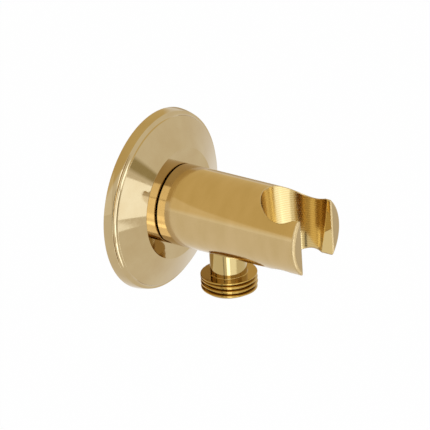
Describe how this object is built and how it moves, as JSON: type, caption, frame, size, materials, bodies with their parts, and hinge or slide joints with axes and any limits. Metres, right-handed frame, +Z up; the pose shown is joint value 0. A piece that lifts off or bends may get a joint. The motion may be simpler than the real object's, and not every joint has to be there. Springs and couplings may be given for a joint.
{
  "type": "hand shower holder",
  "caption": "Wall-mounted hand shower holder: round brass flange, satin bar ending in an open conical fork, and a threaded water outlet below with a check valve inside.",
  "frame": {"origin": "on the bar's axis in the plane of the wall, where the wall nipple's thread starts", "axes": "-Y out of the wall along the bar, +Y into the wall, +Z up along the seat's axis, +X to the right when facing the wall"},
  "size_m": [0.068, 0.0858, 0.068],
  "materials": {
    "polished_brass": "mirror polished, golden",
    "satin_brass": "satin, brushed around the bar, with a machined seat",
    "plain_brass": "as machined",
    "stainless_steel": "plain",
    "ring_rubber": "moulded, matt",
    "gasket_rubber": "foamed sheet, matt",
    "valve_plastic": "moulded acetal",
    "poppet_plastic": "moulded acetal"
  },
  "bodies": {
    "holder": {"wall_flange": "polished_brass", "flange_gasket": "gasket_rubber", "flange_o_ring": "ring_rubber", "holder_body": "satin_brass", "wall_nipple": "plain_brass", "nipple_o_ring_rear": "ring_rubber", "nipple_o_ring_front": "ring_rubber", "grub_screw": "stainless_steel", "outlet_nipple": "polished_brass", "outlet_o_ring": "ring_rubber", "check_valve_housing": "valve_plastic", "check_valve_o_ring": "ring_rubber", "check_valve_guide": "valve_plastic", "check_valve_spring": "stainless_steel"},
    "poppet": {"check_valve_poppet": "poppet_plastic", "check_valve_seal": "ring_rubber"}
  },
  "joints": [
    {"name": "poppet_slide", "type": "slide", "parent": "holder", "child": "poppet", "axis": [0, -1, 0], "range_m": [0, 0.0015], "stiffness_N_per_m": 100, "springref_m": -0.001, "deforming": ["check_valve_spring"]}
  ]
}
